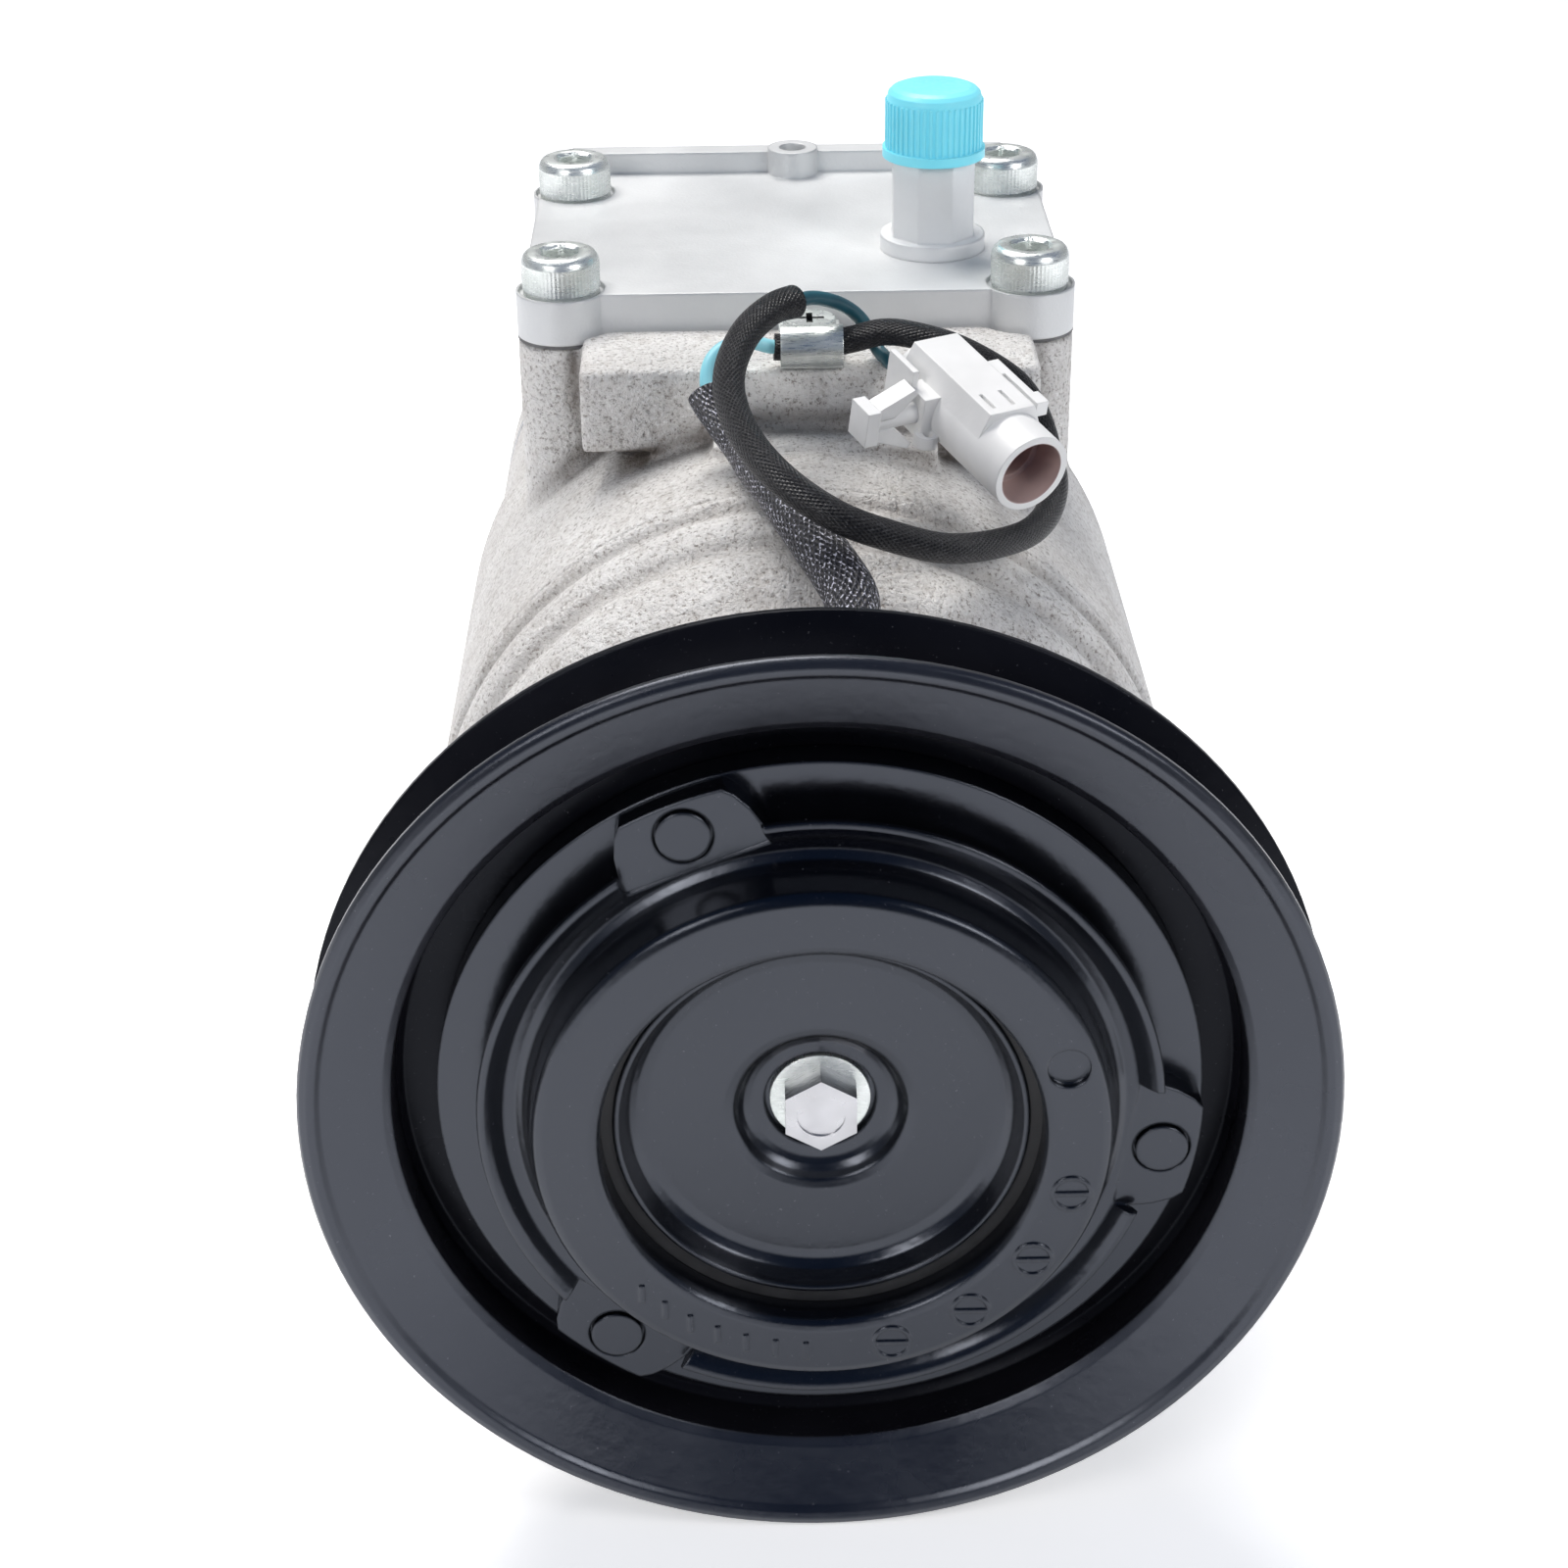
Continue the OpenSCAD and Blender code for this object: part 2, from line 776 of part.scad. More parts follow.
module through_bolts() {
    seat = rear_housing_y[1] - 3 + 1.2;
    color(zinc)
        around(through_orbit, bolt_angles) {
            rod_y(through_r, 64, seat);
            difference() {
                hex_y(10, seat, seat + 4.6);
                rod_y(3, seat + 4.2, seat + 5);
            }
        }
}

module through_bolt_washers() {
    seat = rear_housing_y[1] - 3;
    color(zinc)
        around(through_orbit, bolt_angles)
            ring_y(6.2, through_r, seat, seat + 1.2);
}

module shaft_seal() {
    color(rubber_black)
        ring_y(14, shaft_seal_r + fit, 39, 47);
}

module seal_snap_ring() {
    color(steel)
        difference() {
            ring_y(15, 11.5, 35.9, 37.3);
            slab([-2.5, 2.5], [35, 38], [-16, 0]);
        }
}

module needle_bearings() {
    color(steel) {
        ring_y(12, shaft_r + fit, 84, 98);
        ring_y(12, shaft_r + fit, 184, 198);
    }
}

module thrust_bearings() {
    inner = swash_y - chamber_half + 3.5;
    outer = swash_y + chamber_half - 3.5;
    color(steel) {
        ring_y(15.5, shaft_r + 0.6, inner, inner + thrust_t);
        ring_y(15.5, shaft_r + 0.6, outer - thrust_t, outer);
    }
}

// ---------- manifold ----------

module manifold_plate(z0, z1) {
    slab([-cover_half_x, cover_half_x], [cover_y[0] + 5, cover_y[1] - 5], [z0, z1]);
    slab([-cover_half_x + 5, cover_half_x - 5], cover_y, [z0, z1]);
    for (x = [-1, 1]) {
        for (y = [cover_y[0] + 5, cover_y[1] - 5])
            post(5, x * (cover_half_x - 5), y, z0, z1);
        for (y = [0, 1])
            post(column_r, x * bolt_dx / 2, bolt_y0 + y * bolt_dy, z0, z1);
    }
}

module manifold_cover() {
    color(machined)
        difference() {
            union() {
                manifold_plate(cover_low, cover_top);
                slab([-lip_half_x, lip_half_x], [lip_front, cover_y[1]], [cover_top - 1, cover_top + lip_h]);
                post(4.6, 1, 190.4, cover_top - 1, cover_top + lip_h + 0.9);
            }
            slab([-plenum_half_x, plenum_half_x], plenum_y, [cover_low - 1, cover_low + 3]);
            post(2.4, 1, 190.4, cover_top - 2, cover_top + lip_h + 2);
            post(5.5, port_x, port_y, cover_low - 1, cover_top + 1);
            for (x = [-1, 1])
                for (y = [0, 1]) {
                    post(4, x * bolt_dx / 2, bolt_y0 + y * bolt_dy, cover_low - 1, cover_top + 1);
                    post(spot_r, x * bolt_dx / 2, bolt_y0 + y * bolt_dy, cover_top - spot_depth, cover_top + 1);
                }
        }
}

module manifold_gasket() {
    color(gasket_grey)
        difference() {
            manifold_plate(block_top, cover_low);
            slab([-plenum_half_x, plenum_half_x], plenum_y, [block_top - 1, cover_low + 1]);
            slab([-50, 50], [cover_y[1] - 4.5, cover_y[1] + 1], [block_top - 1, cover_low + 1]);
            slab([pad_x[0] - 1, pad_x[1] + 1], [cover_y[0] - 1, block_y[0]], [block_top - 1, cover_low + 1]);
            for (x = [-1, 1])
                for (y = [0, 1])
                    post(4, x * bolt_dx / 2, bolt_y0 + y * bolt_dy, block_top - 1, cover_low + 1);
        }
}

module cover_bolts() {
    color(zinc)
        for (x = [-1, 1])
            for (y = [0, 1])
                translate([x * bolt_dx / 2, bolt_y0 + y * bolt_dy, 0])
                    difference() {
                        union() {
                            translate([0, 0, cover_top - spot_depth])
                                cylinder(r = head_r, h = head_top - cover_top + spot_depth - 1);
                            translate([0, 0, head_top - 1])
                                cylinder(r1 = head_r, r2 = head_r - 1, h = 1);
                            translate([0, 0, 50])
                                cylinder(r = 4, h = cover_top - 50);
                        }
                        translate([0, 0, head_top - 4])
                            cylinder(r = socket_af / sqrt(3), h = 5, $fn = 6);
                    }
}

module suction_port() {
    color(machined)
        translate([port_x, port_y, 0])
            difference() {
                union() {
                    translate([0, 0, cover_low + 3])
                        cylinder(r = 5.5, h = cover_top - cover_low - 3);
                    translate([0, 0, cover_top])
                        cylinder(r = 9, h = 2.6);
                    translate([0, 0, cover_top + 2.6])
                        rotate([0, 0, 22.5])
                            cylinder(r = 7.4, h = 13.4, $fn = 8);
                    translate([0, 0, cover_top + 16])
                        cylinder(r = port_thread_r, h = 9.9);
                }
                translate([0, 0, cover_low + 2])
                    cylinder(r = 4, h = 34);
            }
}

module port_cap() {
    rib_count = 48;
    z0 = cover_top + 16.2;
    color(cap_cyan)
        translate([port_x, port_y, 0])
            difference() {
                union() {
                    translate([0, 0, z0])
                        cylinder(r = 8.7, h = 1.6);
                    translate([0, 0, z0 + 1.6])
                        cylinder(r = 8, h = 8.4);
                    translate([0, 0, z0 + 10])
                        rotate_extrude()
                            polygon([[0, 0], [8, 0], [7.8, 0.8], [7.2, 1.4], [6.2, 1.8], [0, 2]]);
                    for (i = [0 : rib_count - 1])
                        rotate([0, 0, i * 360 / rib_count])
                            translate([7.8, -0.22, z0 + 1.6])
                                cube([0.5, 0.44, 8]);
                }
                translate([0, 0, z0 - 1])
                    cylinder(r = port_thread_r + fit, h = 11.2);
            }
}

// ---------- lead, clip and connector ----------

module lead_clip() {
    color(zinc)
        difference() {
            union() {
                translate([0, clip_axis[0], clip_axis[1]])
                    rotate([0, 90, 0])
                        translate([0, 0, clip_x[0]])
                            cylinder(r = loop_r + clip_t, h = clip_x[1] - clip_x[0]);
                slab(clip_x, [clip_axis[0], 120.4], [clip_axis[1] - loop_r - clip_t + eps, pad_z[1] + 1.6]);
            }
            translate([clip_x[0] - 1, clip_axis[0], clip_axis[1]])
                rotate([0, 90, 0])
                    cylinder(r = loop_r, h = 12);
            post(2.5, (clip_x[0] + clip_x[1]) / 2, screw_y, pad_z[1] - 1, pad_z[1] + 3);
        }
}

module clip_screw() {
    x = (clip_x[0] + clip_x[1]) / 2;
    z = pad_z[1] + 1.6;
    color(zinc)
        difference() {
            union() {
                post(2.5, x, screw_y, 61, z + 1);
                translate([x, screw_y, z])
                    cylinder(r1 = 4.6, r2 = 4.2, h = 2.2);
            }
            slab([x - 2.4, x + 2.4], [screw_y - 0.5, screw_y + 0.5], [z + 1, z + 3]);
            slab([x - 0.5, x + 0.5], [screw_y - 2.4, screw_y + 2.4], [z + 1, z + 3]);
        }
}

module coil_lead() {
    color(sleeve_black)
        tube(coil_lead_points, sleeve_r, [1, 0, 0], 12);
}

module wire_lead() {
    color(wire_blue) {
        tube(blue_wire_points, wire_r, [0.4, 0.2, -1], 8);
        tube(teal_wire_points, wire_r, [0, 0.1, 1], 8);
    }
}

module loop_lead() {
    color(sleeve_black)
        tube(loop_lead_points, loop_r, [0, 0, 1], 12);
}

module connector() {
    color(plug_grey)
        translate(plug_back)
            rotate(plug_turn)
                difference() {
                    union() {
                        cylinder(r = 3.4, h = 4);
                        translate([0, 0, 3])
                            cylinder(r = 4.8, h = 7);
                        translate([0, 0, 9])
                            cylinder(r = plug_r, h = plug_len - 9);
                        plug_latch();
                        plug_retainer();
                    }
                    translate([0, 0, plug_len - 6])
                        cylinder(r = plug_bore_r, h = 7);
                    translate([0, 0, plug_len - 14])
                        difference() {
                            cylinder(r = plug_step_r, h = 9);
                            cylinder(r = 0.9, h = 5.5);
                        }
                    for (y = [-2.6, 0.8])
                        translate([-7.2, y, 20.5])
                            cube([0.9, 0.6, 4]);
                }
}

// raised back of the plug, faired into the barrel, with the catch arm standing off its right side
module plug_latch() {
    translate([0, 0, 4])
        linear_extrude(22)
            polygon([[-6.9, -3.9], [-6.9, 3.9], [-2.6, 5.7], [0, 6.2], [0, -6.2], [-2.6, -5.7]]);
    translate([-5.6, 3, 11])
        cube([2.4, 4.2, 4]);
    translate([-5.6, 5.9, 11])
        cube([2.4, 1.3, 13]);
    translate([-5.6, 6.4, 21])
        cube([2.4, 1.6, 3]);
}

// push-in retainer: small head, neck with two barbs, collar, upright tab and a ring lug
module plug_retainer() {
    translate([-2.9, -17.6, 9.4])
        cube([5.8, 2.2, 5]);
    translate([0, -4, 12])
        rotate([90, 0, 0])
            cylinder(r = 1.7, h = 12);
    for (s = [-1, 1])
        translate([0, 0, 10.4])
            linear_extrude(3.4)
                polygon([[s * 0.8, -16.2], [s * 2.6, -15.6], [s * 5.2, -9.4], [s * 4.4, -8.8],
                    [s * 1, -12.4]]);
    translate([-3.6, -8, 9.2])
        cube([7.2, 3, 5.6]);
    translate([-6.4, -8.2, 4])
        cube([7.8, 1, 7]);
    difference() {
        translate([2.2, -7, 15])
            rotate([0, 90, 0])
                cylinder(r = 1.9, h = 2);
        translate([1.2, -7, 15.4])
            rotate([0, 90, 0])
                cylinder(r = 0.8, h = 4);
    }
}

front_housing();
front_cylinder_block();
rear_cylinder_block();
rear_housing();
block_gasket();
head_gasket(plate_r, lip_y);  // front_head_gasket
head_gasket(rear_r, rear_housing_y[0] - gasket_t);  // rear_head_gasket
valve_plate(plate_r, front_face - reed_t - plate_t);  // front_valve_plate
valve_plate(rear_r, rear_face + reed_t);  // rear_valve_plate
suction_reed(plate_r, front_face - reed_t);  // front_suction_reed
suction_reed(rear_r, rear_face);  // rear_suction_reed
discharge_reed(lip_y + gasket_t);  // front_discharge_reed
discharge_reed(rear_face + reed_t + plate_t);  // rear_discharge_reed
through_bolts();
through_bolt_washers();
manifold_cover();
manifold_gasket();
cover_bolts();
suction_port();
port_cap();
shaft_seal();
seal_snap_ring();
needle_bearings();
thrust_bearings();
coil_housing();
coil_winding();
coil_snap_ring();
coil_gland();
bearing_inner_race();
bearing_balls();
bearing_outer_race();
bearing_seals();
nose_snap_ring();
rotor_snap_ring();
pulley();
shaft();
swash_plate();
hub_inner();
hub_damper();
hub_cup();
armature_plate();
rivets();
clutch_washer();
clutch_bolt();
piston(0);  // piston_1
piston(1);  // piston_2
piston(2);  // piston_3
piston(3);  // piston_4
piston(4);  // piston_5
shoes(0);  // shoes_1
shoes(1);  // shoes_2
shoes(2);  // shoes_3
shoes(3);  // shoes_4
shoes(4);  // shoes_5
lead_clip();
clip_screw();
coil_lead();
wire_lead();
loop_lead();
connector();
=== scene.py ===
import math

import bmesh
import bpy
import numpy as np
from mathutils import Matrix, Vector
from mathutils.bvhtree import BVHTree


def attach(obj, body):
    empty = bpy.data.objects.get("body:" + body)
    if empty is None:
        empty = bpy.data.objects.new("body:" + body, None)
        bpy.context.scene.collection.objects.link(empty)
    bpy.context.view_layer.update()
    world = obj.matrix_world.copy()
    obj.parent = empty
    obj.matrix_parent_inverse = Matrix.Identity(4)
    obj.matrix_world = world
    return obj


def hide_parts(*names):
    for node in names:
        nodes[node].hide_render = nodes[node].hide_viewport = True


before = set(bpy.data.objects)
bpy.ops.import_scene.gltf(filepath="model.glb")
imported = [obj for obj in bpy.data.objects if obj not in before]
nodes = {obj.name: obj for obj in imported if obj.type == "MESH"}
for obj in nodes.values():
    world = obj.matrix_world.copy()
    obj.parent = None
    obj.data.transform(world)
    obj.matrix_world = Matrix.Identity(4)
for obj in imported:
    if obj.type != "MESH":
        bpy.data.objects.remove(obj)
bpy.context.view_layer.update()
MM = 0.001


def mm(*xyz):
    return Vector(xyz) * MM


# ---------- camera, floor and light ----------

PITCH, YAW, ROLL = 0.4981, 0.0158, 0.0093
LENS = 66.2
CAMERA_AT = mm(-10.0, -336.0, 233.0)
FLOOR_Z = -73 * MM


def place_camera():
    forward = Vector((math.sin(YAW) * math.cos(PITCH), math.cos(YAW) * math.cos(PITCH), -math.sin(PITCH)))
    right = Vector((math.cos(YAW), -math.sin(YAW), 0))
    down = forward.cross(right)
    right, down = (math.cos(ROLL) * right + math.sin(ROLL) * down,
                   -math.sin(ROLL) * right + math.cos(ROLL) * down)
    data = bpy.data.cameras.new("camera")
    data.lens = LENS
    data.sensor_width = 36
    data.clip_start = 0.01
    camera = bpy.data.objects.new("camera", data)
    bpy.context.scene.collection.objects.link(camera)
    axes = Matrix((right, -down, -forward)).transposed()
    camera.matrix_world = Matrix.Translation(CAMERA_AT) @ axes.to_4x4()
    bpy.context.scene.camera = camera


def area_light(name, at, aim, size, power, tint=(1, 1, 1)):
    data = bpy.data.lights.new(name, "AREA")
    data.shape = "RECTANGLE"
    data.size, data.size_y = size
    data.energy = power
    data.color = tint
    light = bpy.data.objects.new(name, data)
    light.location = at
    light.rotation_euler = (Vector(aim) - Vector(at)).to_track_quat("-Z", "Y").to_euler()
    bpy.context.scene.collection.objects.link(light)


place_camera()


# ---------- shading helpers ----------

class Shade:
    """A procedural material: each method adds nodes and returns an output socket."""

    def __init__(self, name):
        self.mat = bpy.data.materials.new(name)
        self.mat.use_nodes = True
        self.tree = self.mat.node_tree
        self.bsdf = self.tree.nodes["Principled BSDF"]
        self.coords = self.add("ShaderNodeTexCoord")

    def add(self, kind, **settings):
        node = self.tree.nodes.new(kind)
        for key, value in settings.items():
            setattr(node, key, value)
        return node

    def plug(self, value, socket):
        if isinstance(value, bpy.types.NodeSocket):
            self.tree.links.new(value, socket)
        else:
            socket.default_value = value

    def set(self, **values):
        for key, value in values.items():
            self.plug(value, self.bsdf.inputs[key.replace("_", " ")])

    def stretch(self, scale):
        node = self.add("ShaderNodeMapping")
        self.plug(self.coords.outputs["Object"], node.inputs["Vector"])
        node.inputs["Scale"].default_value = scale
        return node.outputs["Vector"]

    def noise(self, scale, detail=3.0, rough=0.55, vector=None, warp=0.0):
        node = self.add("ShaderNodeTexNoise")
        self.plug(vector or self.coords.outputs["Object"], node.inputs["Vector"])
        node.inputs["Scale"].default_value = scale
        node.inputs["Detail"].default_value = detail
        node.inputs["Roughness"].default_value = rough
        node.inputs["Distortion"].default_value = warp
        return node.outputs["Fac"]

    def cells(self, scale):
        node = self.add("ShaderNodeTexVoronoi")
        self.plug(self.coords.outputs["Object"], node.inputs["Vector"])
        node.inputs["Scale"].default_value = scale
        return node.outputs["Distance"]

    def spread(self, value, low, high, to_low=0.0, to_high=1.0):
        node = self.add("ShaderNodeMapRange")
        self.plug(value, node.inputs["Value"])
        for key, number in zip(("From Min", "From Max", "To Min", "To Max"), (low, high, to_low, to_high)):
            node.inputs[key].default_value = number
        return node.outputs["Result"]

    def math(self, operation, a, b=0.0):
        node = self.add("ShaderNodeMath", operation=operation)
        self.plug(a, node.inputs[0])
        self.plug(b, node.inputs[1])
        return node.outputs["Value"]

    def tint(self, amount, a, b):
        node = self.add("ShaderNodeMix", data_type="RGBA")
        self.plug(amount, node.inputs["Factor"])
        for value, socket in ((a, node.inputs[6]), (b, node.inputs[7])):
            self.plug((*value, 1) if isinstance(value, tuple) else value, socket)
        return node.outputs[2]

    def split(self, source="Object"):
        node = self.add("ShaderNodeSeparateXYZ")
        self.plug(self.coords.outputs[source], node.inputs["Vector"])
        return node.outputs

    def soft_edges(self, radius):
        node = self.add("ShaderNodeBevel", samples=6)
        node.inputs["Radius"].default_value = radius
        return node.outputs["Normal"]

    def creases(self, distance):
        """0 in tight corners, 1 on open surfaces."""
        node = self.add("ShaderNodeAmbientOcclusion", samples=8, only_local=True)
        node.inputs["Distance"].default_value = distance
        return node.outputs["AO"]

    def off_axis(self, start, along):
        """Distance from a line through start in direction along, and the way gone along it, in metres."""
        aim = Vector(along).normalized()
        away = self.add("ShaderNodeVectorMath", operation="SUBTRACT")
        across = self.add("ShaderNodeVectorMath", operation="CROSS_PRODUCT")
        size = self.add("ShaderNodeVectorMath", operation="LENGTH")
        reach = self.add("ShaderNodeVectorMath", operation="DOT_PRODUCT")
        self.plug(self.coords.outputs["Object"], away.inputs[0])
        away.inputs[1].default_value = start
        for node in (across, reach):
            self.plug(away.outputs["Vector"], node.inputs[0])
            node.inputs[1].default_value = aim
        self.plug(across.outputs["Vector"], size.inputs[0])
        return size.outputs["Value"], reach.outputs["Value"]

    def bump(self, height, strength, distance, under=None):
        node = self.add("ShaderNodeBump")
        self.plug(height, node.inputs["Height"])
        node.inputs["Strength"].default_value = strength
        node.inputs["Distance"].default_value = distance
        if under is not None:
            self.plug(under, node.inputs["Normal"])
        return node.outputs["Normal"]


def sand_cast():
    s = Shade("sand_cast")
    patches = s.noise(45, 4, 0.6)
    grain = s.noise(1500, 3, 0.75)
    pits = s.cells(620)
    coarse = s.noise(330, 3, 0.6)
    tone = s.tint(s.spread(patches, 0.35, 0.65), (0.74, 0.715, 0.685), (0.90, 0.885, 0.86))
    tone = s.tint(s.spread(coarse, 0.48, 0.32, 0.0, 0.45), tone, (0.52, 0.48, 0.44))
    tone = s.tint(s.spread(grain, 0.46, 0.33), tone, (0.32, 0.285, 0.255))
    tone = s.tint(s.spread(grain, 0.56, 0.68), tone, (0.97, 0.96, 0.94))
    # darker in creases and recesses: painted shade from the AO mask, made patchy by coarse noise like dirt
    crease_shade_and_dirt = s.math("MULTIPLY", s.spread(s.creases(0.005), 0.97, 0.66), s.spread(coarse, 0.30, 0.55, 0.6, 1.0))
    tone = s.tint(crease_shade_and_dirt, tone, (0.16, 0.135, 0.115))
    s.set(Base_Color=tone, Metallic=0.12, Roughness=s.spread(grain, 0.3, 0.7, 0.42, 0.66))
    rough = s.bump(coarse, 0.6, 0.0012, s.bump(grain, 0.9, 0.0008))
    s.set(Normal=s.bump(pits, 0.35, 0.0006, rough))
    return s.mat


def smooth_cast(name="smooth_cast", tone_a=(0.64, 0.65, 0.65), tone_b=(0.74, 0.75, 0.75)):
    s = Shade(name)
    patches = s.noise(30, 4, 0.6)
    grain = s.noise(1500, 2, 0.6)
    s.set(Base_Color=s.tint(s.spread(patches, 0.3, 0.7), tone_a, tone_b), Metallic=0.25,
          Roughness=s.spread(patches, 0.3, 0.7, 0.36, 0.5))
    s.set(Normal=s.bump(grain, 0.25, 0.0003, s.soft_edges(0.0008)))
    return s.mat


def plated(name="zinc_plate", tone_a=(0.70, 0.74, 0.71), tone_b=(0.86, 0.89, 0.87)):
    s = Shade(name)
    cloud = s.noise(240, 4, 0.6)
    scratches = s.noise(500, 2, 0.5, s.stretch((1, 1, 14)))
    tone = s.tint(s.spread(cloud, 0.35, 0.65), tone_a, tone_b)
    # near black in tight corners and sockets: painted shade from the AO mask
    s.set(Base_Color=s.tint(s.spread(s.creases(0.003), 0.75, 0.35), tone, (0.05, 0.05, 0.05)), Metallic=0.75,
          Roughness=s.spread(scratches, 0.3, 0.7, 0.22, 0.42))
    s.set(Normal=s.bump(scratches, 0.2, 0.0002, s.soft_edges(0.0003)))
    return s.mat


def steel(name="ground_steel"):
    s = Shade(name)
    rings = s.noise(300, 2, 0.5, s.stretch((1, 20, 1)))
    cloud = s.noise(90, 3, 0.5)
    s.set(Base_Color=s.tint(s.spread(cloud, 0.3, 0.7), (0.45, 0.45, 0.46), (0.6, 0.6, 0.62)), Metallic=0.95,
          Roughness=s.spread(rings, 0.3, 0.7, 0.25, 0.4), Normal=s.bump(rings, 0.2, 0.0002))
    return s.mat


def black_enamel(name, tones, gloss, reflect, edge, dull_from=None):
    """Gloss black paint; surfaces further back than dull_from, in metres along the shaft, are flatter."""
    s = Shade(name)
    peel = s.noise(420, 2, 0.5)
    cloud = s.noise(35, 4, 0.6)
    specks = s.noise(1900, 2, 0.6)
    tone = s.tint(s.spread(cloud, 0.3, 0.7), *tones)
    tone = s.tint(s.spread(specks, 0.70, 0.80), tone, (0.10, 0.10, 0.11))
    s.set(Base_Color=tone, Roughness=s.spread(cloud, 0.3, 0.7, *gloss))
    s.bsdf.inputs["Specular IOR Level"].default_value = reflect
    # bluish specular tint: a painted blue cast on the reflections
    s.bsdf.inputs["Specular Tint"].default_value = (0.80, 0.86, 1.0, 1)
    if dull_from is not None:
        s.set(Specular_IOR_Level=s.spread(s.split()[1], dull_from - 0.002, dull_from, reflect, 0.15))
    s.set(Normal=s.bump(peel, 0.10, 0.0004, s.soft_edges(edge)))
    return s.mat


def rubber(name="rubber", tone_a=(0.012, 0.012, 0.013), tone_b=(0.03, 0.03, 0.032)):
    s = Shade(name)
    dust = s.noise(260, 4, 0.7)
    s.set(Base_Color=s.tint(s.spread(dust, 0.35, 0.7), tone_a, tone_b),
          Roughness=s.spread(dust, 0.3, 0.7, 0.55, 0.8), Normal=s.bump(dust, 0.2, 0.0003))
    return s.mat


def plastic(name, tone_a, tone_b, gloss=(0.3, 0.45), grain_scale=900, edge=0.0003, glow=0.0, light=0.0,
            inside=None):
    """Moulded plastic; inside is (start, direction, radius, depth, tone) of a bore with a darker lining."""
    s = Shade(name)
    flow = s.noise(60, 3, 0.6)
    grain = s.noise(grain_scale, 3, 0.6)
    tone = s.tint(s.spread(flow, 0.3, 0.7), tone_a, tone_b)
    if inside:
        start, along, radius, depth, dark = inside
        off, way = s.off_axis(start, along)
        bore = s.math("MULTIPLY", s.math("LESS_THAN", off, radius), s.math("GREATER_THAN", way, depth))
        tone = s.tint(bore, tone, dark)
    s.set(Base_Color=tone, Roughness=s.spread(grain, 0.3, 0.7, *gloss),
          Normal=s.bump(grain, 0.15, 0.0002, s.soft_edges(edge)))
    # the part glows by emission at strength light: painted light
    s.bsdf.inputs["Emission Color"].default_value = (*tone_b, 1)
    s.bsdf.inputs["Emission Strength"].default_value = light
    s.bsdf.inputs["Subsurface Weight"].default_value = glow
    s.bsdf.inputs["Subsurface Radius"].default_value = (0.002, 0.002, 0.002)
    return s.mat


def woven(name, around, pitch, tone_a, tone_b, painted_glint, shine):
    """Braided sleeving: strands crossing both ways over the tube's UV map, u once round, v in metres."""
    s = Shade(name)
    u, v, _ = s.split("UV")
    climb = s.math("MULTIPLY", v, 1 / pitch)
    turn = s.math("MULTIPLY", u, around)
    left = s.math("SINE", s.math("MULTIPLY", s.math("ADD", turn, climb), 2 * math.pi))
    right = s.math("SINE", s.math("MULTIPLY", s.math("SUBTRACT", turn, climb), 2 * math.pi))
    weave = s.math("MAXIMUM", left, right)
    fibre = s.noise(2600, 3, 0.7)
    glint_spots = s.noise(1800, 2, 0.7)
    # lighter on the strand crests: painted highlight
    tone = s.tint(s.spread(weave, -0.2, 1.0), tone_a, tone_b)
    # light specks on the strand crests: painted glints
    tone = s.tint(s.math("MULTIPLY", s.spread(glint_spots, 0.54, 0.60), s.spread(weave, 0.3, 0.9)), tone, painted_glint)
    s.bsdf.inputs["Specular IOR Level"].default_value = shine
    s.set(Base_Color=tone, Roughness=s.spread(fibre, 0.3, 0.7, 0.30, 0.48))
    s.set(Normal=s.bump(fibre, 0.3, 0.0002, s.bump(weave, 0.6, 0.0003)))
    return s.mat


def studio_floor():
    """Graduated paper: white under and behind the part, grey in front of it."""
    s = Shade("floor_paper")
    fibre = s.noise(12, 4, 0.6)
    fade = s.spread(s.split()[1], -0.9, -0.4)
    paper = s.tint(s.spread(fibre, 0.3, 0.7), (0.93, 0.93, 0.935), (0.95, 0.95, 0.955))
    s.set(Base_Color=s.tint(fade, (0.10, 0.10, 0.11), paper), Roughness=s.spread(fibre, 0.3, 0.7, 0.7, 0.8),
          Normal=s.bump(fibre, 0.05, 0.0005))
    s.bsdf.inputs["Emission Color"].default_value = (1, 1, 1, 1)
    s.set(Emission_Strength=s.spread(fade, 0.5, 1.0, 0.0, 0.45))
    return s.mat


PLUG_AT = mm(18, 89.9, 75.7)
PLUG_AIM = (0.470, -0.855, -0.220)
PLUG_BORE = 5.2 * MM
PLUG_STEP = 18.5 * MM

